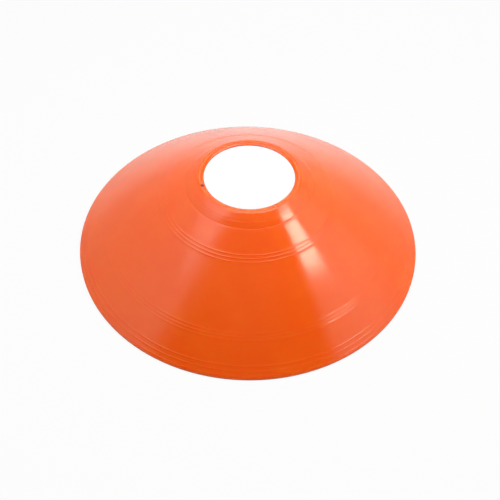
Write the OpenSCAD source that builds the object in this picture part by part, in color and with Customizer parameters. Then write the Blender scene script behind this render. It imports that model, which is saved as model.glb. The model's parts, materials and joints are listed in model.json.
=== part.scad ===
// Low marker cone, of the flat disc kind that is set out on a sports field.
// It is one thin moulded shell: a gently domed flank with a round opening at its top,
// a rounded lip, a raised collar, three sets of fine raised ribs and a thickened rim.
// Millimetres, +Z up. The origin is on the ground, under the middle of the opening.

/* [Overall] */
// Width across the rim that stands on the ground
rim_d = 190; // [160:1:260]
// Height from the ground to the top of the lip
cone_h = 51; // [35:0.5:80]
// Height by which the flank bulges above a straight line
flank_bow = 1.1; // [0:0.1:4]
// Thickness of the moulded wall
wall_t = 1.3; // [0.8:0.1:2.2]

/* [Opening] */
// Width of the clear opening at the top
hole_d = 48.4; // [36:0.2:64]
// Level distance from the opening to where the collar's line would reach the lip's height
lip_w = 3.3; // [3:0.1:5]
// Thickness of the lip
lip_t = 1.6; // [1.4:0.1:2.2]
// Radius of the corner where the lip turns down into the collar
lip_corner_round = 2; // [0.4:0.1:2.4]
// Level width over which the lip rolls down towards the opening
lip_roll_w = 1.6; // [0.8:0.1:1.8]
// Radius of that roll
lip_roll = 3.7; // [2.5:0.1:6]
// Radius of the lip's rounded edge at the opening
lip_round = 0.3; // [0.1:0.05:0.5]
// Height of the short straight wall at the opening
lip_land = 0.5; // [0.4:0.1:1]

/* [Collar] */
// Width of the collar, from the opening to its foot, measured level
collar_w = 10; // [8.5:0.1:14]
// Thickness that the collar adds to the flank
collar_raise = 0.2; // [0.1:0.05:1]
// Width of the sloping shoulder at the collar's foot
shoulder_w = 3; // [1.5:0.1:4.5]
// Width of the fine grooves at the shoulder's top and foot
groove_w = 0.5; // [0.3:0.1:1]
// Depth of those grooves
groove_depth = 0.04; // [0.02:0.01:0.2]

/* [Ribs] */
// Ribs in each set
rib_count = 3; // [1:1:4]
// Width of one rib where it leaves the flank
rib_w = 0.55; // [0.4:0.05:1.3]
// Height of the upper set's ribs above the flank
upper_rib_h = 0.06; // [0.02:0.01:0.3]
// Height of the ribs in the two lower sets
lower_rib_h = 0.04; // [0.02:0.01:0.3]
// Level distance from rib to rib in the upper set
upper_rib_pitch = 1.5; // [1.3:0.05:2.5]
// Level distance from rib to rib in the middle set
middle_rib_pitch = 1.4; // [1.3:0.05:2.5]
// Level distance from rib to rib in the lowest set
lowest_rib_pitch = 2; // [1.3:0.05:2.5]
// Level distance from the collar's foot to the middle of the upper set
upper_ribs_gap = 12.7; // [6:0.1:18]
// Level distance from the middle of the middle set to the rim's edge
middle_ribs_inset = 16.4; // [12:0.1:22]
// Level distance from the middle of the lowest set to the rim's edge
lowest_ribs_inset = 2.9; // [2.8:0.1:6]

/* [Rim] */
// Height of the rim's upright outer edge
edge_h = 1.6; // [1.2:0.1:3]
// Radius of the rim's rounded corners
edge_round = 0.3; // [0.1:0.05:0.5]
// Width of the flat foot that touches the ground
foot_w = 2.4; // [2:0.1:5]

/* [Hidden] */

// Faces round a full turn, and pieces along the flank and along a rounded corner
$fn = 144;
flank_steps = 18;
corner_steps = 6;

rim_r = rim_d / 2;
hole_r = hole_d / 2;
collar_r = hole_r + collar_w;

// Mean slope of the flank, and the direction that it faces
mean_slope = atan((cone_h - edge_h) / (rim_r - hole_r));
facing = [sin(mean_slope), cos(mean_slope)];

// Middles of the rim's two rounded corners, of the lip's rounded corner and of its roll
rim_low_corner = [rim_r - edge_round, edge_round];
rim_top_corner = [rim_r - edge_round, edge_h - edge_round];
lip_corner = [
    hole_r + lip_w - lip_corner_round * tan(mean_slope / 2),
    cone_h - lip_corner_round
];
roll_middle = [hole_r + lip_roll_w, cone_h - lip_roll];

// Lean of the roll where its rounded edge starts, and the middle of that edge
lip_lean = asin((lip_roll_w - lip_round) / (lip_roll - lip_round));
lip_edge = roll_middle + (lip_roll - lip_round) * [-sin(lip_lean), cos(lip_lean)];

// Where the flank starts at the rim, and where it ends under the collar at the lip
flank_start = rim_top_corner + edge_round * facing;
flank_end = lip_corner + (lip_corner_round - collar_raise) * facing;
flank_run = flank_start.x - flank_end.x;
flank_rise = flank_end.y - flank_start.y;

// Depth to which a rib reaches into the wall
rib_root = wall_t / 4;

// Place on the flank at a share of the way up, and the direction that it faces there
function flank(share) = [
    flank_start.x - share * flank_run,
    flank_start.y + share * flank_rise + flank_bow * 4 * share * (1 - share)
];
function flank_normal(share) =
    let (rise = flank_rise + flank_bow * 4 * (1 - 2 * share))
    [rise, flank_run] / norm([rise, flank_run]);

// Share of the way up the flank at a radius, and a place that stands off the flank there
function share_at(radius) = (flank_start.x - radius) / flank_run;
function off_flank(share, height) = flank(share) + height * flank_normal(share);
function off_flank_at(radius, height) = off_flank(share_at(radius), height);

// Points of an arc from one angle to another, without the first where it is drawn already
function arc(middle, radius, from, to, first = 0) = [
    for (i = [first : corner_steps])
        let (angle = from + (to - from) * i / corner_steps)
        middle + radius * [cos(angle), sin(angle)]
];

// Points that follow the flank from one radius to another, standing off it by a height
function along_flank(from, to, height) = [
    for (i = [0 : flank_steps])
        off_flank_at(from + (to - from) * i / flank_steps, height)
];

rim_outline = concat(
    arc(rim_low_corner, edge_round, -90, 0),
    arc(rim_top_corner, edge_round, 0, 90 - mean_slope)
);

flank_outline = [
    for (i = [1 : flank_steps])
        off_flank(share_at(collar_r + groove_w / 2) * i / flank_steps, 0)
];

// The shoulder rises evenly from the flank, between a groove at its foot and one at its top
groove_r = collar_r - shoulder_w;
collar_outline = [
    off_flank_at(collar_r, -groove_depth),
    off_flank_at(collar_r - groove_w / 2, collar_raise * groove_w / 2 / shoulder_w),
    off_flank_at(groove_r + groove_w / 2, collar_raise * (1 - groove_w / 2 / shoulder_w)),
    off_flank_at(groove_r, collar_raise - groove_depth),
    off_flank_at(groove_r - groove_w / 2, collar_raise)
];

// The lip turns over its corner and rolls down to a short upright wall at the opening
lip_outline = concat(
    arc(lip_corner, lip_corner_round, 90 - mean_slope, 90),
    arc(roll_middle, lip_roll, 90, 90 + lip_lean),
    arc(lip_edge, lip_round, 90 + lip_lean, 180, 1),
    [
        [hole_r, lip_edge.y - lip_land],
        [hole_r + lip_t / 2, cone_h - lip_t],
        [hole_r + lip_w - lip_t * tan(mean_slope / 2), cone_h - lip_t]
    ]
);

// The underside keeps the wall's thickness, from the lip to the foot
underside_outline = along_flank(hole_r + lip_w + wall_t, rim_r - foot_w, -wall_t);
foot_outline = [[rim_r - foot_w, edge_round], [rim_r - foot_w + edge_round, 0]];

module shell_outline() {
    polygon(concat(
        rim_outline,
        flank_outline,
        collar_outline,
        lip_outline,
        underside_outline,
        foot_outline
    ));
}

// One rib, which swells softly out of the flank and back, with its root in the wall
module rib(radius, height) {
    polygon(concat(
        [off_flank_at(radius + rib_w / 2, -rib_root)],
        [
            for (i = [-corner_steps : corner_steps])
                let (share = i / corner_steps)
                off_flank_at(
                    radius - share * rib_w / 2,
                    height * (1 + cos(180 * share)) / 2
                )
        ],
        [off_flank_at(radius - rib_w / 2, -rib_root)]
    ));
}

// A set of ribs, level distances apart, round a middle radius
module rib_set(middle_r, pitch, height) {
    for (i = [0 : rib_count - 1]) {
        rib(middle_r + (i - (rib_count - 1) / 2) * pitch, height);
    }
}

module cone_shell() {
    color("orangered") rotate_extrude() {
        shell_outline();
        rib_set(collar_r + upper_ribs_gap, upper_rib_pitch, upper_rib_h);
        rib_set(rim_r - middle_ribs_inset, middle_rib_pitch, lower_rib_h);
        rib_set(rim_r - lowest_ribs_inset, lowest_rib_pitch, lower_rib_h);
    }
}

cone_shell();
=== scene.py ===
"""The looks of a low sports marker cone: its moulded shell, its plastic and a plain studio.

Lengths are in metres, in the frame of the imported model: +Z is up, and the origin is on the
ground under the middle of the opening. The camera stands on the -Y side and looks down.
"""
import json
import logging
import math
from collections.abc import Iterable
from dataclasses import dataclass
from enum import Enum
from typing import Any

import bpy
from mathutils import Matrix, Vector


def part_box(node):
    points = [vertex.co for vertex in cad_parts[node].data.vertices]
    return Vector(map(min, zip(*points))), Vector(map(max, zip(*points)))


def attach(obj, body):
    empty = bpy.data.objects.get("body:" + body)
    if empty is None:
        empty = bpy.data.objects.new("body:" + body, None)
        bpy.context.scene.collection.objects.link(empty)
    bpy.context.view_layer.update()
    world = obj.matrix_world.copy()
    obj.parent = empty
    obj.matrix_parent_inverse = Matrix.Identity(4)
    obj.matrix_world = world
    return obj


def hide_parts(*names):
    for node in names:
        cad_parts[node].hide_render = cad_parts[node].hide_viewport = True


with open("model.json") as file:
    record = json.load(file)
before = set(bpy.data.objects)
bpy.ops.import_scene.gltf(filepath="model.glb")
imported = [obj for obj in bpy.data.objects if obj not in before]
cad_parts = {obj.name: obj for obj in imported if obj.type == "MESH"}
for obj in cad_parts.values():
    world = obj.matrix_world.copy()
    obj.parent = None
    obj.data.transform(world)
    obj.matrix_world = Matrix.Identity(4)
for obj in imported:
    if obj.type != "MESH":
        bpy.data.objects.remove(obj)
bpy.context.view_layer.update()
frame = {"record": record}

LOG = logging.getLogger("marker_cone")

MM = 0.001
QUARTER = math.pi / 2
BODY = "root"
SHELL_NODE = "cone_shell"
OPENING_MOUNT = "opening"

# Names of the attributes that say what a point of the section or of the shell is
FACING = "facing"
RIBBED = "ribbed"
ON_LIP = "on_lip"
INSIDE = "inside"
GATE = "gate"

# A linear colour with its alpha, and the two values at which something sets in and is full
Colour = tuple[float, float, float, float]
Span = tuple[float, float]

WHITE: Colour = (1.0, 1.0, 1.0, 1.0)


class Wire:
    """An output of a node. A wire that carries a number takes part in Python expressions."""

    def __init__(self, graph: "Graph", socket: bpy.types.NodeSocket) -> None:
        """Takes an output socket and the graph that its node is in."""
        self.graph = graph
        self.socket = socket

    def __add__(self, other: "Wire | float") -> "Wire":
        """Gives self + other."""
        return self.graph.maths("ADD", self, other)

    def __radd__(self, other: float) -> "Wire":
        """Gives other + self."""
        return self.graph.maths("ADD", other, self)

    def __sub__(self, other: "Wire | float") -> "Wire":
        """Gives self - other."""
        return self.graph.maths("SUBTRACT", self, other)

    def __rsub__(self, other: float) -> "Wire":
        """Gives other - self."""
        return self.graph.maths("SUBTRACT", other, self)

    def __mul__(self, other: "Wire | float") -> "Wire":
        """Gives self * other."""
        return self.graph.maths("MULTIPLY", self, other)

    def __rmul__(self, other: float) -> "Wire":
        """Gives other * self."""
        return self.graph.maths("MULTIPLY", other, self)

    def __truediv__(self, other: "Wire | float") -> "Wire":
        """Gives self / other."""
        return self.graph.maths("DIVIDE", self, other)

    def __rtruediv__(self, other: float) -> "Wire":
        """Gives other / self."""
        return self.graph.maths("DIVIDE", other, self)

    def __mod__(self, other: "Wire | float") -> "Wire":
        """Gives self modulo other."""
        return self.graph.maths("MODULO", self, other)

    def __rmod__(self, other: float) -> "Wire":
        """Gives other modulo self."""
        return self.graph.maths("MODULO", other, self)

    def step(self, low: float, high: float) -> "Wire":
        """Rises smoothly from 0 at low to 1 at high, or falls where low is above high.

        Args:
            low: The value at which the result is 0.
            high: The value at which the result is 1.

        Returns:
            A number from 0 to 1.
        """
        start, end = (0.0, 1.0) if low < high else (1.0, 0.0)
        values = {
            "Value": self,
            "From Min": min(low, high),
            "From Max": max(low, high),
            "To Min": start,
            "To Max": end,
        }
        settings = {"interpolation_type": "SMOOTHSTEP"}
        return self.graph.node("ShaderNodeMapRange", settings, values)["Result"]


class Outputs:
    """The outputs of a node that a graph has made."""

    def __init__(self, graph: "Graph", node: bpy.types.Node) -> None:
        """Takes a node and the graph that it is in."""
        self.graph = graph
        self.node = node

    def __getitem__(self, name: str) -> Wire:
        """Gives the output of that name as a wire."""
        return Wire(self.graph, Graph.find(self.node.outputs, name))


class Graph:
    """Builds one node tree: a material's, a lamp's, the world's or a modifier's."""

    def __init__(self, tree: bpy.types.NodeTree) -> None:
        """Takes the tree to build in, and empties it."""
        self.tree = tree
        tree.nodes.clear()

    @classmethod
    def of(cls, owner: bpy.types.ID) -> "Graph":
        """Takes the shader nodes of a material, a lamp or the world."""
        owner.use_nodes = True
        return cls(owner.node_tree)

    @staticmethod
    def find(sockets: Iterable[bpy.types.NodeSocket], key: str | int) -> bpy.types.NodeSocket:
        """Finds a socket that is in use.

        Args:
            sockets: A node's inputs or outputs.
            key: The socket's name, or its place among the sockets in use.

        Returns:
            The socket.

        Raises:
            KeyError: If the node has no such socket in use.
        """
        in_use = [socket for socket in sockets if socket.enabled]
        if isinstance(key, int):
            return in_use[key]
        for socket in in_use:
            if socket.name == key:
                return socket
        raise KeyError(f"no socket named {key} among {[socket.name for socket in in_use]}")

    def node(
        self,
        kind: str,
        settings: dict[str, Any] | None = None,
        values: dict[str | int, Any] | None = None,
    ) -> Outputs:
        """Makes a node, with its settings first and then what its sockets get.

        Args:
            kind: The node's type.
            settings: The node's own properties.
            values: For each input, by its name or place, a wire or a plain value.

        Returns:
            The node's outputs.
        """
        made = self.tree.nodes.new(kind)
        for name, setting in (settings or {}).items():
            setattr(made, name, setting)
        for key, value in (values or {}).items():
            socket = self.find(made.inputs, key)
            if isinstance(value, Wire):
                self.tree.links.new(value.socket, socket)
            else:
                socket.default_value = value
        return Outputs(self, made)

    def maths(self, operation: str, *terms: Wire | float) -> Wire:
        """Works out one Math node's operation on its terms."""
        settings = {"operation": operation}
        return self.node("ShaderNodeMath", settings, dict(enumerate(terms)))["Value"]

    def vector_maths(self, operation: str, *terms: Wire | tuple, output: str = "Vector") -> Wire:
        """Works out one Vector Math node's operation on its terms."""
        settings = {"operation": operation}
        return self.node("ShaderNodeVectorMath", settings, dict(enumerate(terms)))[output]

    def parts(self, vector: Wire) -> tuple[Wire, Wire, Wire]:
        """Splits a vector into its X, Y and Z."""
        split = self.node("ShaderNodeSeparateXYZ", None, {"Vector": vector})
        return split["X"], split["Y"], split["Z"]

    def mix(self, share: Wire | float, first: Wire | tuple, second: Wire | tuple) -> Wire:
        """Mixes two colours, where a share of 0 gives the first and a share of 1 the second."""
        values = {"Factor": share, "A": first, "B": second}
        return self.node("ShaderNodeMix", {"data_type": "RGBA"}, values)["Result"]


def placed(name: str, data: bpy.types.ID) -> bpy.types.Object:
    """Puts an object into the scene, at the origin.

    Args:
        name: The object's name.
        data: Its mesh, lamp or camera.

    Returns:
        The object.
    """
    made = bpy.data.objects.new(name, data)
    bpy.context.scene.collection.objects.link(made)
    return made


class ModellingGraph(Graph):
    """Builds a Geometry Nodes tree with named inputs."""

    def __init__(self, name: str) -> None:
        """Makes a tree that takes geometry and gives geometry.

        Args:
            name: The tree's name.
        """
        super().__init__(bpy.data.node_groups.new(name, "GeometryNodeTree"))
        self.identifiers: dict[str, str] = {}
        interface = self.tree.interface
        interface.new_socket("Geometry", in_out="INPUT", socket_type="NodeSocketGeometry")
        interface.new_socket("Geometry", in_out="OUTPUT", socket_type="NodeSocketGeometry")
        self.group_input = self.tree.nodes.new("NodeGroupInput")

    def input(self, name: str, kind: str = "Float") -> Wire:
        """Adds a named input to the tree.

        Args:
            name: The input's name, as the modifier shows it.
            kind: Float, Int or Material.

        Returns:
            The input's value.
        """
        socket = self.tree.interface.new_socket(name, in_out="INPUT", socket_type="NodeSocket" + kind)
        self.identifiers[name] = socket.identifier
        return Wire(self, self.find(self.group_input.outputs, name))

    def geometry(self) -> Wire:
        """Gives the geometry that comes into the tree."""
        return Wire(self, self.find(self.group_input.outputs, "Geometry"))

    def through(
        self,
        kind: str,
        geometry: Wire,
        values: dict[str, Any] | None = None,
        settings: dict[str, Any] | None = None,
    ) -> Wire:
        """Passes geometry through a node, which gets its other inputs' values and its settings."""
        return self.node(kind, settings, {"Geometry": geometry, **(values or {})})["Geometry"]

    def finish(self, geometry: Wire, material: Wire) -> None:
        """Ends the tree in real geometry with its material.

        Args:
            geometry: What the tree has made.
            material: The material that it gets.
        """
        real = self.through("GeometryNodeRealizeInstances", geometry)
        dressed = self.through("GeometryNodeSetMaterial", real, {"Material": material})
        self.node("NodeGroupOutput", None, {"Geometry": dressed})

    def made_mesh(self, name: str, start: bpy.types.Mesh, values: dict[str, Any]) -> bpy.types.Object:
        """Runs the tree on a mesh and keeps the result as a plain mesh.

        Args:
            name: The name of the object and of its mesh.
            start: The mesh that the tree starts from.
            values: What each named input of the tree gets.

        Returns:
            An object at the origin with the finished mesh and no modifier.
        """
        piece = placed(name, start)
        modifier = piece.modifiers.new(self.tree.name, "NODES")
        modifier.node_group = self.tree
        for input_name, value in values.items():
            modifier[self.identifiers[input_name]] = value
        evaluated = piece.evaluated_get(bpy.context.evaluated_depsgraph_get())
        mesh = bpy.data.meshes.new_from_object(evaluated)
        mesh.name = name
        piece.modifiers.remove(modifier)
        piece.data = mesh
        bpy.data.meshes.remove(start)
        return piece


class Zone(Enum):
    """The stretches of the shell's section that are treated in different ways."""

    RIM = "rim"
    FLANK = "flank"
    COLLAR = "collar"
    LIP = "lip"
    UNDERSIDE = "underside"


@dataclass(frozen=True)
class SectionPoint:
    """A point of the shell's section.

    Attributes:
        radius: Distance from the cone's axis.
        height: Height above the ground.
        zone: The stretch of the section that it belongs to.
        facing: Direction, outwards and up, in which a rib or a mark stands here.
    """

    radius: float
    height: float
    zone: Zone
    facing: tuple[float, float] = (0.0, 0.0)


@dataclass(frozen=True)
class RibSet:
    """A set of fine ribs that go round the flank.

    Attributes:
        name: What the set is called among the tree's inputs.
        radius: Distance from the cone's axis to the middle of the set.
        pitch: Level distance from rib to rib.
        rise: Height of its ribs above the flank.
        width: Width of a rib where it leaves the flank.
    """

    name: str
    radius: float
    pitch: float
    rise: float
    width: float

    def inputs(self) -> dict[str, float]:
        """Gives the set's sizes by the names of the tree's inputs for them."""
        sizes = {"Radius": self.radius, "Pitch": self.pitch, "Rise": self.rise, "Rib Width": self.width}
        return {f"{self.name} Set {size}": value for size, value in sizes.items()}


@dataclass
class ConeShell:
    """The cone itself: one thin shell, moulded in one shot, and open at its top and its foot.

    Attributes:
        rim_radius: Distance from the axis to the rim's outer edge.
        height: Height of the lip above the ground.
        opening_radius: Radius of the clear opening.
        wall: Thickness of the moulded wall.
        flank_bow: Height by which the flank bulges above a straight line.
        lip_width: Level distance from the opening to where the collar's line would reach the top.
        lip_thickness: Thickness of the lip.
        lip_corner_round: Radius of the corner where the lip turns down into the collar.
        lip_roll_width: Level width over which the lip rolls down towards the opening.
        lip_roll: Radius of that roll.
        lip_edge_round: Radius of the lip's rounded edge at the opening.
        lip_land: Height of the short straight wall at the opening.
        collar_width: Level distance from the opening to the collar's foot.
        collar_raise: Thickness that the collar adds to the flank.
        shoulder_width: Width of the sloping shoulder at the collar's foot.
        groove_width: Width of the fine grooves at the shoulder's top and foot.
        groove_depth: Depth of those grooves.
        ribs_in_a_set: Ribs in each set.
        upper_ribs_gap: Level distance from the collar's foot to the middle of the upper set.
        middle_ribs_inset: Level distance from the middle of the middle set to the rim's edge.
        lowest_ribs_inset: The same for the lowest set.
        edge_height: Height of the rim's upright outer edge.
        edge_round: Radius of the rim's rounded corners.
        foot_width: Width of the flat foot.
        underside_blend: Level width of the soft corner between the underside and the foot.
        underside_pull: How far down the point that shapes that corner lies, in its widths.
        foot_pull: How far out the point that shapes the foot's corner lies, in its radii.
        gate_azimuth: Direction of the gate mark, in degrees from +X towards +Y.
        gate_inset: Distance from the opening's edge to the middle of the gate mark.
        gate_radius: Radius of the gate mark.
        gate_height: Height of the gate mark above the lip.
        gate_fade: Where the gate mark sets in and has its full height, in its radii.
        crater_fade: The same for the crater in its middle.
        crater_depth: Depth of that crater, as a share of the mark's height.
        gate_steps: Section points from the gate mark's middle to its edge.
        segments: Faces round a full turn.
        crowding: How much those faces crowd towards the gate mark, from 0 to under 1.
        rib_step: Distance between section points across the ribs.
        flank_step: Distance between section points on the plain flank.
        shoulder_crowding: How many times closer they are on the collar's shoulder.
        underside_step: Distance between section points on the underside.
        support: Distance of the first section point beside a rounded corner.
        merge_distance: Distance under which points of the lathed shell become one.
    """

    rim_radius: float
    height: float
    opening_radius: float
    wall: float = 1.3 * MM
    flank_bow: float = 1.1 * MM
    lip_width: float = 3.3 * MM
    lip_thickness: float = 1.6 * MM
    lip_corner_round: float = 2.0 * MM
    lip_roll_width: float = 2.2 * MM
    lip_roll: float = 3.7 * MM
    lip_edge_round: float = 0.3 * MM
    lip_land: float = 0.3 * MM
    collar_width: float = 10.0 * MM
    collar_raise: float = 0.2 * MM
    shoulder_width: float = 3.0 * MM
    groove_width: float = 0.5 * MM
    groove_depth: float = 0.04 * MM
    ribs_in_a_set: int = 3
    upper_ribs_gap: float = 12.6 * MM
    middle_ribs_inset: float = 16.4 * MM
    lowest_ribs_inset: float = 2.9 * MM
    edge_height: float = 1.6 * MM
    edge_round: float = 0.3 * MM
    foot_width: float = 2.4 * MM
    underside_blend: float = 0.8 * MM
    underside_pull: float = 0.7
    foot_pull: float = 0.15
    gate_azimuth: float = 199.0
    gate_inset: float = 1.6 * MM
    gate_radius: float = 1.1 * MM
    gate_height: float = 0.1 * MM
    gate_fade: Span = (1.25, 0.75)
    crater_fade: Span = (0.55, 0.1)
    crater_depth: float = 0.75
    gate_steps: int = 6
    segments: int = 288
    crowding: float = 0.7
    rib_step: float = 0.075 * MM
    flank_step: float = 1.3 * MM
    shoulder_crowding: float = 3.0
    underside_step: float = 2.2 * MM
    support: float = 0.12 * MM
    merge_distance: float = 0.001 * MM

    def __post_init__(self) -> None:
        """Works out the places that the section is drawn from."""
        slope = math.atan2(self.height - self.edge_height, self.rim_radius - self.opening_radius)
        self.slope = slope
        facing = Vector((math.sin(slope), math.cos(slope)))
        rim_corner_radius = self.rim_radius - self.edge_round
        self.rim_low_corner = Vector((rim_corner_radius, self.edge_round))
        self.rim_top_corner = Vector((rim_corner_radius, self.edge_height - self.edge_round))
        corner_radius = self.outer_lip_radius(self.lip_corner_round)
        self.lip_corner = Vector((corner_radius, self.height - self.lip_corner_round))
        roll_radius = self.opening_radius + self.lip_roll_width
        self.roll_middle = Vector((roll_radius, self.height - self.lip_roll))
        edge_distance = self.lip_roll - self.lip_edge_round
        self.lip_lean = math.asin((self.lip_roll_width - self.lip_edge_round) / edge_distance)
        lean = Vector((-math.sin(self.lip_lean), math.cos(self.lip_lean)))
        self.lip_edge = self.roll_middle + edge_distance * lean
        self.flank_start = self.rim_top_corner + self.edge_round * facing
        self.flank_end = self.lip_corner + (self.lip_corner_round - self.collar_raise) * facing
        self.collar_radius = self.opening_radius + self.collar_width
        self.underside_radius = self.opening_radius + self.lip_width + self.wall
        upper = self.collar_radius + self.upper_ribs_gap
        middle = self.rim_radius - self.middle_ribs_inset
        lowest = self.rim_radius - self.lowest_ribs_inset
        self.rib_sets = (
            RibSet("Upper", upper, pitch=1.5 * MM, rise=0.07 * MM, width=0.7 * MM),
            RibSet("Middle", middle, pitch=1.4 * MM, rise=0.036 * MM, width=0.7 * MM),
            RibSet("Lowest", lowest, pitch=2.0 * MM, rise=0.05 * MM, width=0.8 * MM),
        )

    def outer_lip_radius(self, depth: float) -> float:
        """Gives the radius of the lip's outer corner, a depth inside its top and its slope."""
        return self.opening_radius + self.lip_width - depth * math.tan(self.slope / 2)

    @classmethod
    def from_frame(cls) -> "ConeShell":
        """Takes the rim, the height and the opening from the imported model.

        Returns:
            The shell, ready to be built.
        """
        low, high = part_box(SHELL_NODE)
        mounts = {mount["name"]: mount for mount in frame["record"]["mounts"]}
        return cls(
            rim_radius=high.x,
            height=high.z - low.z,
            opening_radius=mounts[OPENING_MOUNT]["dims"]["r_mm"] * MM,
        )

    def off_flank(self, radius: float, standoff: float, zone: Zone) -> SectionPoint:
        """Finds the point that stands off the flank's plain line.

        Args:
            radius: Distance from the axis to the foot of the standoff.
            standoff: Distance from the flank's line, outwards and up.
            zone: The zone that the point belongs to.

        Returns:
            The point, with the direction in which the flank faces there.
        """
        run = self.flank_start.x - self.flank_end.x
        rise = self.flank_end.y - self.flank_start.y
        share = (self.flank_start.x - radius) / run
        facing = Vector((rise + self.flank_bow * 4 * (1 - 2 * share), run)).normalized()
        height = self.flank_start.y + share * rise + self.flank_bow * 4 * share * (1 - share)
        place = Vector((radius, height)) + standoff * facing
        return SectionPoint(place.x, place.y, zone, (facing.x, facing.y))

    @staticmethod
    def arc(
        middle: Vector, radius: float, start: float, end: float, steps: int, zone: Zone
    ) -> list[SectionPoint]:
        """Draws a rounded corner.

        Args:
            middle: The middle of the arc.
            radius: The arc's radius.
            start: The angle at which it starts, in radians from outwards to up.
            end: The angle at which it ends.
            steps: Pieces of the arc.
            zone: The zone that its points belong to.

        Returns:
            The arc's points.
        """
        points = []
        for i in range(steps + 1):
            angle = start + (end - start) * i / steps
            facing = Vector((math.cos(angle), math.sin(angle)))
            place = middle + radius * facing
            points.append(SectionPoint(place.x, place.y, zone, (facing.x, facing.y)))
        return points

    @staticmethod
    def spaced(start: float, end: float, step: float) -> list[float]:
        """Gives even places from start to just before end, no further apart than the step."""
        count = max(1, math.ceil(abs(end - start) / step))
        return [start + (end - start) * i / count for i in range(count)]

    def rim_points(self) -> list[SectionPoint]:
        """Draws the rim's outer edge.

        Returns:
            The points from the foot up to the flank.
        """
        end = QUARTER - self.slope
        low = self.arc(self.rim_low_corner, self.edge_round, -QUARTER, 0, steps=6, zone=Zone.RIM)
        top = self.arc(self.rim_top_corner, self.edge_round, 0, end, steps=5, zone=Zone.RIM)
        return low + top

    def flank_points(self) -> list[SectionPoint]:
        """Draws the flank's plain line, with points close together at the ribs.

        Returns:
            The points from the rim up to the collar.
        """
        radii: list[float] = []
        place = self.flank_start.x - self.support
        for ribs in sorted(self.rib_sets, key=lambda item: -item.radius):
            reach = (ribs.pitch * (self.ribs_in_a_set - 1) + ribs.width) / 2
            outer = min(place, ribs.radius + reach)
            inner = ribs.radius - reach
            radii += self.spaced(place, outer, self.flank_step) if outer < place else []
            radii += self.spaced(outer, inner, self.rib_step)
            place = inner
        radii += self.spaced(place, self.collar_radius + self.groove_width / 2, self.flank_step)
        return [self.off_flank(radius, 0.0, Zone.FLANK) for radius in radii]

    def collar_points(self) -> list[SectionPoint]:
        """Draws the collar: its sloping shoulder between two fine grooves, and its band.

        Returns:
            The points from the flank up to the lip.
        """
        top = self.collar_radius - self.shoulder_width
        half = self.groove_width / 2
        radii = self.spaced(self.collar_radius + half, self.collar_radius - half, self.rib_step)
        shoulder_step = self.flank_step / self.shoulder_crowding
        radii += self.spaced(self.collar_radius - half, top + half, shoulder_step)
        radii += self.spaced(top + half, top - half, self.rib_step)
        radii += self.spaced(top - half, self.flank_end.x + self.support, self.flank_step)
        radii.append(self.flank_end.x + self.support)
        points = []
        for radius in radii:
            climb = min(max((self.collar_radius - radius) / self.shoulder_width, 0.0), 1.0)
            dip = 0.0
            for groove in (self.collar_radius, top):
                turn = min(abs(radius - groove) / half, 1.0) * math.pi
                dip += self.groove_depth * (1 + math.cos(turn)) / 2
            points.append(self.off_flank(radius, self.collar_raise * climb - dip, Zone.COLLAR))
        return points

    def lip_points(self) -> list[SectionPoint]:
        """Draws the lip's top: its corner, a level strip, its roll and its rounded edge.

        Returns:
            The points from the collar to the opening.
        """
        lean = QUARTER + self.lip_lean
        start = QUARTER - self.slope
        step = self.gate_radius / self.gate_steps
        corner = self.arc(
            self.lip_corner, self.lip_corner_round, start, QUARTER, steps=10, zone=Zone.LIP
        )
        level = [
            SectionPoint(radius, self.height, Zone.LIP, (0.0, 1.0))
            for radius in self.spaced(self.lip_corner.x, self.roll_middle.x, step)
        ]
        steps = math.ceil(self.lip_roll * self.lip_lean / step)
        roll = self.arc(self.roll_middle, self.lip_roll, QUARTER, lean, steps, Zone.LIP)
        edge = self.arc(self.lip_edge, self.lip_edge_round, lean, math.pi, steps=7, zone=Zone.LIP)
        return corner[:-1] + level + roll + edge[1:]

    def opening_points(self) -> list[SectionPoint]:
        """Draws the short wall at the opening and the lip's underside.

        Returns:
            The points from the lip's edge to the underside of the flank.
        """
        low = Vector((self.opening_radius, self.lip_edge.y - self.lip_land))
        under = self.height - self.lip_thickness
        inner = Vector((self.opening_radius + self.lip_thickness / 2, under))
        outer = Vector((self.outer_lip_radius(self.lip_thickness), under))
        before = low + Vector((0.0, self.support))
        after = low + (inner - low).normalized() * self.support
        middle = (inner + outer) / 2
        last = self.off_flank(self.underside_radius, -self.wall, Zone.UNDERSIDE)
        points = self.curve(before, low, after, steps=5)
        points += self.curve(after, inner, middle, steps=6)
        return points + self.curve(middle, outer, Vector((last.radius, last.height)), steps=8)

    def underside_points(self) -> list[SectionPoint]:
        """Draws the flank's underside, the soft corner at its end and the flat foot.

        Returns:
            The points from the lip down to the foot.
        """
        foot_inner = self.rim_radius - self.foot_width
        end = foot_inner - self.underside_blend
        points = [
            self.off_flank(radius, -self.wall, Zone.UNDERSIDE)
            for radius in self.spaced(self.underside_radius, end, self.underside_step)
        ]
        last = self.off_flank(end, -self.wall, Zone.UNDERSIDE)
        step_top = Vector((foot_inner, self.edge_round))
        before = Vector((last.radius, last.height))
        drop = self.underside_blend * self.underside_pull
        control = Vector((foot_inner - self.support, before.y - drop))
        points += self.curve(before, control, step_top, steps=6)
        foot_start = Vector((foot_inner + self.edge_round, 0.0))
        foot_corner = Vector((foot_inner + self.edge_round * self.foot_pull, 0.0))
        points += self.curve(step_top, foot_corner, foot_start, steps=4)
        flat_end = self.rim_low_corner.x - self.support
        for radius in (foot_start.x + self.support, flat_end):
            points.append(SectionPoint(radius, 0.0, Zone.UNDERSIDE))
        return points

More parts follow.
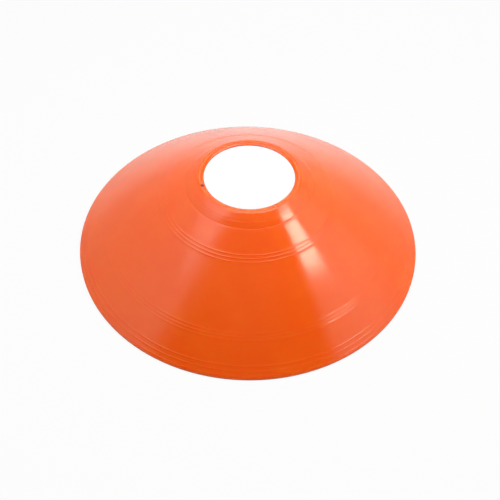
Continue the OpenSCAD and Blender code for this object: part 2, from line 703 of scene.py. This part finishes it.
    @staticmethod
    def curve(start: Vector, control: Vector, end: Vector, steps: int) -> list[SectionPoint]:
        """Draws a soft corner on the underside, as a curve that a control point pulls out.

        Args:
            start: The first point.
            control: The point towards which the curve is pulled.
            end: The last point, which is left to what follows.
            steps: Pieces of the curve.

        Returns:
            The curve's points without the last.
        """
        points = []
        for i in range(steps):
            t = i / steps
            place = (1 - t) ** 2 * start + 2 * t * (1 - t) * control + t * t * end
            points.append(SectionPoint(place.x, place.y, Zone.UNDERSIDE))
        return points

    def section(self) -> bpy.types.Mesh:
        """Makes the section as a closed chain of edges, with what the lathe needs to know.

        Returns:
            A mesh in the XZ plane.
        """
        points = (
            self.rim_points()
            + self.flank_points()
            + self.collar_points()
            + self.lip_points()
            + self.opening_points()
            + self.underside_points()
        )
        count = len(points)
        mesh = bpy.data.meshes.new("shell_section")
        corners = [(point.radius, 0.0, point.height) for point in points]
        mesh.from_pydata(corners, [(i, (i + 1) % count) for i in range(count)], [])
        facing = mesh.attributes.new(FACING, "FLOAT_VECTOR", "POINT")
        for item, point in zip(facing.data, points):
            item.vector = (point.facing[0], 0.0, point.facing[1])
        for name, zone in ((RIBBED, Zone.FLANK), (ON_LIP, Zone.LIP), (INSIDE, Zone.UNDERSIDE)):
            mask = mesh.attributes.new(name, "FLOAT", "POINT")
            mask.data.foreach_set("value", [float(point.zone is zone) for point in points])
        LOG.info("section: %d points", count)
        return mesh

    def lathe(self) -> ModellingGraph:
        """Builds the tree that turns the section into the shell.

        The ribs are raised on the flank and the gate mark on the lip on the way round.

        Returns:
            The tree, with its sizes as named inputs.
        """
        graph = ModellingGraph("cone_lathe")
        section = graph.geometry()
        segments = graph.input("Segments", "Int")
        ring = graph.node("GeometryNodeAttributeDomainSize", None, {"Geometry": section})["Point Count"]
        row = ring + 1
        counts = {"Vertices X": segments + 1, "Vertices Y": row}
        grid = graph.node("GeometryNodeMeshGrid", None, counts)["Mesh"]
        index = graph.node("GeometryNodeInputIndex")["Index"]
        place = index % row % ring
        turn = graph.maths("FLOOR", index / row) / segments * math.tau

        def sampled(value: Wire, kind: str) -> Wire:
            """Reads a value of the section at the point that a grid point comes from."""
            values = {"Geometry": section, "Value": value, "Index": place}
            return graph.node("GeometryNodeSampleIndex", {"data_type": kind}, values)["Value"]

        def attribute(name: str, kind: str = "FLOAT") -> Wire:
            """Reads an attribute of the section at that point."""
            value = graph.node("GeometryNodeInputNamedAttribute", {"data_type": kind}, {"Name": name})
            return sampled(value["Attribute"], kind)

        start = sampled(graph.node("GeometryNodeInputPosition")["Position"], "FLOAT_VECTOR")
        radius, _, height = graph.parts(start)
        out, _, up = graph.parts(attribute(FACING, "FLOAT_VECTOR"))
        rise = attribute(RIBBED) * self.rib_rise(graph, radius)

        angle = turn - graph.input("Crowding") * graph.maths("SINE", turn)
        mark, lift = self.gate_mark(graph, radius, angle)
        rise = rise + attribute(ON_LIP) * lift
        radius = radius + rise * out
        height = height + rise * up

        azimuth = angle + graph.input("Gate Azimuth")
        x = radius * graph.maths("COSINE", azimuth)
        y = radius * graph.maths("SINE", azimuth)
        position = graph.node("ShaderNodeCombineXYZ", None, {"X": x, "Y": y, "Z": height})["Vector"]
        shell = graph.through("GeometryNodeSetPosition", grid, {"Position": position})
        settings = {"data_type": "FLOAT", "domain": "POINT"}
        for name, value in ((INSIDE, attribute(INSIDE)), (GATE, mark)):
            stored = {"Name": name, "Value": value}
            shell = graph.through("GeometryNodeStoreNamedAttribute", shell, stored, settings)
        closed = graph.through("GeometryNodeMergeByDistance", shell, {"Distance": self.merge_distance})
        smooth = graph.through("GeometryNodeSetShadeSmooth", closed)
        graph.finish(smooth, graph.input("Plastic", "Material"))
        return graph

    def gate_mark(self, graph: ModellingGraph, radius: Wire, angle: Wire) -> tuple[Wire, Wire]:
        """Works out the gate mark, a low round swelling with a crater in its middle.

        Args:
            graph: The tree, which gets the mark's sizes as named inputs.
            radius: Distance from the axis.
            angle: Angle round the axis from the mark's own direction.

        Returns:
            The share of the mark at a place, from 0 to 1, and the height that it adds there.
        """
        along = radius * graph.maths("COSINE", angle) - graph.input("Gate Distance")
        across = radius * graph.maths("SINE", angle)
        distance = graph.maths("SQRT", along * along + across * across)
        off_gate = distance / graph.input("Gate Radius")
        mark = off_gate.step(*self.gate_fade)
        left = 1 - self.crater_depth * off_gate.step(*self.crater_fade)
        return mark, mark * left * graph.input("Gate Height")

    def rib_rise(self, graph: ModellingGraph, radius: Wire) -> Wire:
        """Works out how far the ribs stand above the flank.

        A rib swells out of the flank and back as one wave of a cosine.

        Args:
            graph: The tree, which gets the ribs' sizes as named inputs.
            radius: Distance from the axis.

        Returns:
            The height above the flank.
        """
        last = (graph.input("Ribs in a Set", "Int") - 1) / 2
        total: Wire | float = 0.0
        for ribs in self.rib_sets:
            middle, pitch, rise, width = (graph.input(name) for name in ribs.inputs())
            off_middle = radius - middle
            nearest = graph.maths("ROUND", off_middle / pitch + last) - last
            nearest = graph.maths("MAXIMUM", graph.maths("MINIMUM", nearest, last), 0 - last)
            off_rib = graph.maths("ABSOLUTE", off_middle - nearest * pitch)
            turn = graph.maths("MINIMUM", off_rib / width, 0.5) * math.tau
            wave = (graph.maths("COSINE", turn) + 1) / 2
            total = wave * rise + total
        return total

    def build(self, plastic: bpy.types.Material) -> bpy.types.Object:
        """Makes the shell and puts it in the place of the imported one.

        Args:
            plastic: The shell's material.

        Returns:
            The finished piece.
        """
        values: dict[str, Any] = {
            "Segments": self.segments,
            "Crowding": self.crowding,
            "Gate Azimuth": math.radians(self.gate_azimuth),
            "Gate Distance": self.opening_radius + self.gate_inset,
            "Gate Radius": self.gate_radius,
            "Gate Height": self.gate_height,
            "Ribs in a Set": self.ribs_in_a_set,
            "Plastic": plastic,
        }
        for ribs in self.rib_sets:
            values.update(ribs.inputs())
        piece = self.lathe().made_mesh("moulded_shell", self.section(), values)
        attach(piece, BODY)
        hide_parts(SHELL_NODE)
        LOG.info("%s: %d faces", piece.name, len(piece.data.polygons))
        return piece


@dataclass(frozen=True)
class Grain:
    """Noise at one scale.

    Attributes:
        scale: Waves in a metre.
        detail: Octaves above the first.
        octave_share: The share that each octave keeps of the one before.
        span: The noise at which its share is 0, and at which it is 1.
        dulling: What it adds to the roughness where its share is 1.
    """

    scale: float
    detail: float
    octave_share: float
    span: Span = (0.0, 1.0)
    dulling: float = 0.0

    def noise(self, graph: Graph, place: Wire) -> Wire:
        """Gives the noise itself, which is mostly between 0.3 and 0.7."""
        values = {"Scale": self.scale, "Detail": self.detail, "Roughness": self.octave_share}
        return graph.node("ShaderNodeTexNoise", None, {"Vector": place, **values})["Fac"]

    def share(self, graph: Graph, place: Wire) -> Wire:
        """Gives a share from 0 to 1, which follows the noise over its span."""
        return self.noise(graph, place).step(*self.span)


@dataclass(frozen=True)
class MouldedPlastic:
    """Smooth soft plastic with a semi-gloss moulded skin.

    Attributes:
        colour: The plastic's colour, linear.
        deep_colour: The colour where the pigment lies a little thicker.
        shade_and_wear_colour: The colour of the foot's painted shade and of its scuffs.
        gate_shade_colour: The colour painted on the torn gate mark, a dark copy of the plastic's:
            painted shade of its crater.
        roughness: Roughness of the outside.
        inside_roughness: Roughness of the underside.
        refraction: Index of refraction.
        depth: Share of the light that goes into the wall and comes out beside.
        reach: How far red, green and blue light goes in the wall.
        clouds: Slow changes of the colour and the gloss.
        handling: Dull patches left by handling.
        speckle: Fine speckle in the gloss, which goes both ways.
        scuffs: Scuffs on the foot.
        foot_span: Heights at which the foot's painted shade, its scuffs and its dulling set in and are
            full.
        foot_shade: Share of the darker foot colour all over the foot: painted shade along the rim's
            foot.
        scuff_wear: Share that the scuffs add.
        foot_dulling: What the worn foot adds to the roughness.
        gate_shade_share: Share of that painted shade on the gate mark.
        gate_dulling: What the gate mark adds to the roughness.
        skin: Unevenness of the moulded skin.
        skin_relief: Height of that unevenness.
        ring_pitch: Distance from ring to ring of the turning marks on the underside.
        ring_relief: Half the height of those marks.
    """

    colour: Colour = (0.93, 0.134, 0.0068, 1.0)
    deep_colour: Colour = (0.9, 0.122, 0.0058, 1.0)
    shade_and_wear_colour: Colour = (0.5, 0.16, 0.07, 1.0)
    gate_shade_colour: Colour = (0.17, 0.02, 0.01, 1.0)
    roughness: float = 0.1
    inside_roughness: float = 0.34
    refraction: float = 1.5
    depth: float = 1.0
    reach: tuple[float, float, float] = (0.7 * MM, 0.35 * MM, 0.22 * MM)
    clouds: Grain = Grain(scale=38.0, detail=3.0, octave_share=0.55, span=(0.35, 0.65), dulling=0.035)
    handling: Grain = Grain(scale=120.0, detail=5.0, octave_share=0.6, span=(0.42, 0.7), dulling=0.05)
    speckle: Grain = Grain(scale=900.0, detail=2.0, octave_share=0.6, dulling=0.04)
    scuffs: Grain = Grain(scale=260.0, detail=4.0, octave_share=0.65, span=(0.4, 0.62))
    foot_span: Span = (1.3 * MM, 0.2 * MM)
    foot_shade: float = 0.25
    scuff_wear: float = 0.35
    foot_dulling: float = 0.2
    gate_shade_share: float = 0.9
    gate_dulling: float = 0.35
    skin: Grain = Grain(scale=420.0, detail=2.0, octave_share=0.5)
    skin_relief: float = 0.0025 * MM
    ring_pitch: float = 0.42 * MM
    ring_relief: float = 0.0012 * MM

    def build(self) -> bpy.types.Material:
        """Makes the material.

        Returns:
            The material.
        """
        material = bpy.data.materials.new("orange_moulded_plastic")
        graph = Graph.of(material)
        place = graph.node("ShaderNodeTexCoord")["Object"]
        inside = graph.node("ShaderNodeAttribute", {"attribute_name": INSIDE})["Fac"]
        gate = graph.node("ShaderNodeAttribute", {"attribute_name": GATE})["Fac"]
        out_x, out_y, height = graph.parts(place)
        radius = graph.maths("SQRT", out_x * out_x + out_y * out_y)

        clouds = self.clouds.share(graph, place)
        # Towards the ground the foot is painted darker and browner: painted shade along the rim's foot,
        # with real scuffs on it.
        foot = height.step(*self.foot_span) * (1 - inside)
        shade_and_wear = self.foot_shade + self.scuff_wear * self.scuffs.share(graph, place)
        colour = graph.mix(clouds, self.colour, self.deep_colour)
        colour = graph.mix(foot * shade_and_wear, colour, self.shade_and_wear_colour)
        # The whole gate mark is painted dark: painted shade of its crater.
        colour = graph.mix(gate * self.gate_shade_share, colour, self.gate_shade_colour)

        outside = self.roughness + self.clouds.dulling * clouds
        outside = outside + self.handling.dulling * self.handling.share(graph, place)
        outside = outside + self.speckle.dulling * (self.speckle.noise(graph, place) - 0.5)
        outside = outside + self.foot_dulling * foot + self.gate_dulling * gate
        roughness = outside + inside * (self.inside_roughness - outside)

        rings = graph.maths("SINE", radius * (math.tau / self.ring_pitch))
        relief = self.skin_relief * self.skin.noise(graph, place) + self.ring_relief * rings * inside
        bump = graph.node("ShaderNodeBump", None, {"Strength": 1.0, "Distance": 1.0, "Height": relief})

        shader = graph.node(
            "ShaderNodeBsdfPrincipled",
            {"subsurface_method": "RANDOM_WALK"},
            {
                "Base Color": colour,
                "Roughness": roughness,
                "IOR": self.refraction,
                "Normal": bump["Normal"],
                "Subsurface Weight": self.depth,
                "Subsurface Radius": self.reach,
                "Subsurface Scale": 1.0,
            },
        )
        graph.node("ShaderNodeOutputMaterial", None, {"Surface": shader["BSDF"]})
        LOG.info("material: %s", material.name)
        return material


class Seen(Enum):
    """The kinds of ray that see plain white in place of the lit studio, as Light Path names them."""

    CAMERA = "Is Camera Ray"
    GLOSSY = "Is Glossy Ray"
    TRANSMISSION = "Is Transmission Ray"

    @staticmethod
    def share(graph: Graph, shares: "dict[Seen, Wire | float]") -> Wire:
        """Finds the share of white that a ray sees.

        Args:
            graph: The graph of the floor or the world.
            shares: The share of white for each kind of ray.

        Returns:
            A number from 0 to 1.
        """
        path = graph.node("ShaderNodeLightPath")
        total: Wire | float = 0.0
        for ray, share in shares.items():
            total = graph.maths("MAXIMUM", path[ray.value] * share, total)
        return total


def towards(azimuth: float, elevation: float) -> Vector:
    """Gives a direction from the cone.

    Args:
        azimuth: Degrees to the right of the camera's side.
        elevation: Degrees above the horizon.

    Returns:
        A unit vector.
    """
    turn, tilt = math.radians(azimuth), math.radians(elevation)
    level = math.cos(tilt)
    return Vector((math.sin(turn) * level, -math.cos(turn) * level, math.sin(tilt)))


@dataclass(frozen=True)
class SoftLamp:
    """A rectangular studio lamp that faces the cone.

    Attributes:
        name: The lamp's name.
        azimuth: Its direction from the cone, in degrees to the right of the camera's side.
        elevation: Its height above the horizon, in degrees.
        distance: Its distance from the cone.
        width: Its level width.
        height: Its other side.
        radiance: Its brightness, where white paper in plain light has 1.
        roll: How far it is turned about the line to the cone, in degrees.
        low_share: The share of its brightness at its lower edge.
        edge: The share of each side over which it fades out.
        tint: The colour of its light.
    """

    name: str
    azimuth: float
    elevation: float
    distance: float
    width: float
    height: float
    radiance: float
    roll: float = 0.0
    low_share: float = 1.0
    edge: float = 0.12
    tint: Colour = WHITE

    def build(self) -> bpy.types.Object:
        """Makes the lamp.

        Returns:
            The lamp's object.
        """
        lamp = bpy.data.lights.new(self.name, "AREA")
        lamp.shape = "RECTANGLE"
        lamp.size = self.width
        lamp.size_y = self.height
        lamp.energy = self.radiance * math.pi * self.width * self.height
        graph = Graph.of(lamp)
        across, up, _ = graph.parts(graph.node("ShaderNodeNewGeometry")["Parametric"])
        fade = up * (1 - self.low_share) + self.low_share
        for side in (across, up):
            fade = fade * side.step(0.0, self.edge) * side.step(1.0, 1.0 - self.edge)
        emission = graph.node("ShaderNodeEmission", None, {"Color": self.tint, "Strength": fade})
        graph.node("ShaderNodeOutputLight", None, {"Surface": emission["Emission"]})
        stand = placed(self.name, lamp)
        back = towards(self.azimuth, self.elevation)
        aim = (-back).to_track_quat("-Z", "Y").to_matrix().to_4x4()
        turn = Matrix.Rotation(math.radians(self.roll), 4, "Z")
        stand.matrix_world = Matrix.Translation(back * self.distance) @ aim @ turn
        stand.visible_camera = False
        LOG.info("lamp: %s, %.1f W", self.name, lamp.energy)
        return stand


@dataclass(frozen=True)
class WallEnd:
    """The front end of a side wall, as a line between two directions.

    Attributes:
        low: Azimuth and elevation of the line's lower point, in degrees.
        high: Azimuth and elevation of its upper point.
        softness: Half the width of the transition, as the sine of an angle.
        strength: The share of the wall's brightness that is reached there.
    """

    low: tuple[float, float]
    high: tuple[float, float]
    softness: float = 0.05
    strength: float = 1.0

    def share(self, graph: Graph, direction: Wire) -> Wire:
        """Gives the strength on the wall's side of the line and 0 in front of it.

        Args:
            graph: The world's graph.
            direction: The direction that is looked in.

        Returns:
            A number from 0 to 1.
        """
        across = towards(*self.low).cross(towards(*self.high)).normalized()
        side = Vector((math.copysign(1.0, self.low[0]), 0.0, 0.0))
        across = across if across.dot(side) > 0 else -across
        distance = graph.vector_maths("DOT_PRODUCT", direction, tuple(across), output="Value")
        return distance.step(-self.softness, self.softness) * self.strength


@dataclass(frozen=True)
class Glow:
    """A stretch of the wall behind the cone that is brighter or darker than the rest.

    Attributes:
        radiance: What it adds to the wall's brightness.
        backwards: Where it sets in and is full, as the backward part of a direction of length 1.
        upwards: The same for the upward part.
    """

    radiance: float
    backwards: Span
    upwards: Span

    def light(self, backwards: Wire, upwards: Wire) -> Wire:
        """Gives what it adds in a direction, from that direction's two parts."""
        return backwards.step(*self.backwards) * upwards.step(*self.upwards) * self.radiance


@dataclass(frozen=True)
class Studio:
    """A plain white studio: a pale floor, white walls at the sides and back, and soft lamps.

    A span of heights holds the upward parts of two directions of length 1.

    Attributes:
        floor_side: Length of the floor's sides.
        paint: The floor's colour.
        table_white: The share of plain white in the floor as the camera sees it.
        glossy_white: The same share as a glossy surface sees it.
        opening_painted_white: The same share to the camera, under the cone's opening: painted light
            that hides the cone's shadow seen through it.
        opening_span: Distances from the axis at which that painted light sets in and is full.
        foot_radiance: Brightness of the walls near the floor.
        wall_radiance: Brightness of the walls higher up.
        wall_heights: Heights between which it changes.
        glows: The lit backdrop behind the cone, and the darker wall above it.
        ceiling_radiance: Brightness overhead.
        ceiling_heights: Heights between which the walls turn into the ceiling.
        front_radiances: Brightness of the room behind the camera, low, higher and overhead.
        front_heights: Heights between which it changes, the first time and the second.
        back_span: Where the walls set in and are full, as the backward part of a direction.
        wall_ends: The front ends of the side walls, and of a reveal in front of the left one.
        lamps: The lamps.
    """

    floor_side: float = 14.0
    paint: Colour = (0.65, 0.65, 0.65, 1.0)
    table_white: float = 0.92
    glossy_white: float = 0.3
    opening_painted_white: float = 1.0
    opening_span: Span = (92.0 * MM, 75.0 * MM)
    foot_radiance: float = 0.68
    wall_radiance: float = 1.12
    wall_heights: Span = (0.17, 0.7)
    glows: tuple[Glow, ...] = (
        Glow(radiance=0.76, backwards=(0.8, 0.98), upwards=(0.55, 0.3)),
        Glow(radiance=-0.8, backwards=(0.2, 0.55), upwards=(0.45, 0.6)),
    )
    ceiling_radiance: float = 0.24
    ceiling_heights: Span = (0.8, 0.97)
    front_radiances: tuple[float, float, float] = (0.024, 0.208, 0.336)
    front_heights: tuple[Span, Span] = ((0.72, 0.86), (0.87, 0.97))
    back_span: Span = (-0.1, 0.2)
    wall_ends: tuple[WallEnd, ...] = (
        WallEnd(low=(-59.5, 40.0), high=(-52.5, 52.0)),
        WallEnd(low=(-53.0, 42.0), high=(-44.0, 52.0), strength=0.3),
        WallEnd(low=(60.0, 42.0), high=(64.0, 46.0), softness=0.055),
    )
    lamps: tuple[SoftLamp, ...] = (
        SoftLamp(
            "left_softbox", azimuth=-85.0, elevation=61.0, distance=0.55,
            width=0.38, height=0.38, radiance=3.0, low_share=0.25,
        ),
        SoftLamp(
            "right_softbox", azimuth=100.0, elevation=64.0, distance=0.55,
            width=0.34, height=0.37, radiance=2.9,
        ),
        SoftLamp(
            "right_fill", azimuth=92.0, elevation=30.0, distance=1.0,
            width=0.9, height=0.5, radiance=0.4, edge=0.3,
        ),
        SoftLamp(
            "top_softbox", azimuth=180.0, elevation=89.0, distance=0.26,
            width=0.26, height=0.26, radiance=2.3, edge=0.42,
        ),
        SoftLamp(
            "back_softbox", azimuth=180.0, elevation=53.0, distance=1.0,
            width=0.42, height=0.55, radiance=1.5, edge=0.3,
        ),
        SoftLamp(
            "right_lamp", azimuth=75.8, elevation=45.8, distance=1.05,
            width=0.33, height=0.2, radiance=12.6,
            roll=-31.0, edge=0.25, tint=(1.0, 1.0, 0.78, 1.0),
        ),
    )

    def build_floor(self) -> bpy.types.Object:
        """Makes the pale floor, which is white to the camera and keeps the cone's shadow around it,
        with painted light under the cone's opening.

        Returns:
            The floor, marked as stage.
        """
        half = self.floor_side / 2
        mesh = bpy.data.meshes.new("studio_floor")
        corners = [(-half, -half, 0), (half, -half, 0), (half, half, 0), (-half, half, 0)]
        mesh.from_pydata(corners, [], [(0, 1, 2, 3)])
        floor = placed("studio_floor", mesh)
        material = bpy.data.materials.new("pale_floor_paint")
        graph = Graph.of(material)
        paint = graph.node("ShaderNodeBsdfDiffuse", None, {"Color": self.paint})["BSDF"]
        white = graph.node("ShaderNodeEmission", None, {"Strength": 1.0})["Emission"]
        place = graph.node("ShaderNodeTexCoord")["Object"]
        # Under the cone the floor is painted white to the camera: painted light that hides the cone's
        # shadow seen through the opening.
        under = graph.vector_maths("LENGTH", place, output="Value").step(*self.opening_span)
        seen = self.table_white + under * (self.opening_painted_white - self.table_white)
        shares = {Seen.CAMERA: seen, Seen.GLOSSY: self.glossy_white, Seen.TRANSMISSION: seen}
        share = Seen.share(graph, shares)
        surface = graph.node("ShaderNodeMixShader", None, {0: share, 1: paint, 2: white})["Shader"]
        graph.node("ShaderNodeOutputMaterial", None, {"Surface": surface})
        mesh.materials.append(material)
        LOG.info("floor: %.0f m square", self.floor_side)
        return floor

    def build_walls(self) -> bpy.types.World:
        """Makes the white walls, and the darker room behind the camera.

        Returns:
            The world.
        """
        world = bpy.data.worlds.new("white_studio")
        bpy.context.scene.world = world
        graph = Graph.of(world)
        direction = graph.node("ShaderNodeTexCoord")["Generated"]
        _, backwards, up = graph.parts(direction)
        growth = self.wall_radiance - self.foot_radiance
        walls = self.foot_radiance + up.step(*self.wall_heights) * growth
        for glow in self.glows:
            walls = walls + glow.light(backwards, up)
        walls = walls + up.step(*self.ceiling_heights) * (self.ceiling_radiance - walls)
        low, higher, overhead = self.front_radiances
        first, second = self.front_heights
        front = low + up.step(*first) * (higher - low) + up.step(*second) * (overhead - higher)
        share = backwards.step(*self.back_span)
        for end in self.wall_ends:
            share = graph.maths("MAXIMUM", share, end.share(graph, direction))
        radiance = front + share * (walls - front)
        seen = Seen.share(graph, {Seen.CAMERA: 1.0, Seen.TRANSMISSION: 1.0})
        radiance = radiance + seen * (1 - radiance)
        values = {"Color": WHITE, "Strength": radiance}
        background = graph.node("ShaderNodeBackground", None, values)["Background"]
        graph.node("ShaderNodeOutputWorld", None, {"Surface": background})
        LOG.info("world: %s", world.name)
        return world

    def build(self) -> None:
        """Makes the floor, the walls and the lamps."""
        self.build_floor()
        self.build_walls()
        for lamp in self.lamps:
            lamp.build()


@dataclass(frozen=True)
class Viewpoint:
    """The camera, as fitted to the outline of the rim, the opening and the ribs.

    Attributes:
        distance: Distance from the origin, in rim radii.
        elevation: Height above the horizon, in degrees.
        yaw: Turn to the right, in degrees, from the line to the origin.
        pitch: Tilt up from that line, in degrees.
        roll: Turn about the line of sight, in degrees.
        focal_px: Focal length in pixels of the photograph.
        photo_side_px: Width of the photograph in pixels.
        sensor: Width of the camera's sensor, in the camera's own millimetres.
        near: Distance from which the camera sees.
    """

    distance: float = 5.40
    elevation: float = 48.35
    yaw: float = 0.13
    pitch: float = -0.687
    roll: float = 1.1
    focal_px: float = 898.1
    photo_side_px: float = 500.0
    sensor: float = 36.0
    near: float = 10.0 * MM

    def build(self, rim_radius: float) -> bpy.types.Object:
        """Makes the camera and looks through it.

        Args:
            rim_radius: Radius of the cone's rim.

        Returns:
            The camera's object.
        """
        tilt = math.radians(self.elevation)
        back = Vector((0.0, -math.cos(tilt), math.sin(tilt)))
        ahead = -back
        right = Vector((1.0, 0.0, 0.0))
        up = right.cross(ahead)
        ahead, up = self.turned(ahead, up, self.pitch)
        ahead, right = self.turned(ahead, right, self.yaw)
        right, up = self.turned(right, up, self.roll)
        camera = bpy.data.cameras.new("studio_camera")
        camera.sensor_width = self.sensor
        camera.lens = self.focal_px / self.photo_side_px * self.sensor
        camera.clip_start = self.near
        stand = placed("studio_camera", camera)
        axes = Matrix((right, up, -ahead)).transposed().to_4x4()
        stand.matrix_world = Matrix.Translation(back * self.distance * rim_radius) @ axes
        bpy.context.scene.camera = stand
        LOG.info("camera: %.1f mm lens", camera.lens)
        return stand

    @staticmethod
    def turned(first: Vector, second: Vector, degrees: float) -> tuple[Vector, Vector]:
        """Turns two axes in their plane, the first towards the second.

        Args:
            first: An axis.
            second: An axis square to it.
            degrees: The angle.

        Returns:
            The two turned axes.
        """
        angle = math.radians(degrees)
        cosine, sine = math.cos(angle), math.sin(angle)
        return first * cosine + second * sine, second * cosine - first * sine


def main() -> None:
    """Builds the camera, the cone and the studio, in that order."""
    logging.basicConfig(level=logging.INFO, format="%(name)s: %(message)s")
    bpy.context.scene.view_settings.view_transform = "Standard"
    shell = ConeShell.from_frame()
    Viewpoint().build(shell.rim_radius)
    shell.build(MouldedPlastic().build())
    Studio().build()


if __name__ == "__main__":
    main()
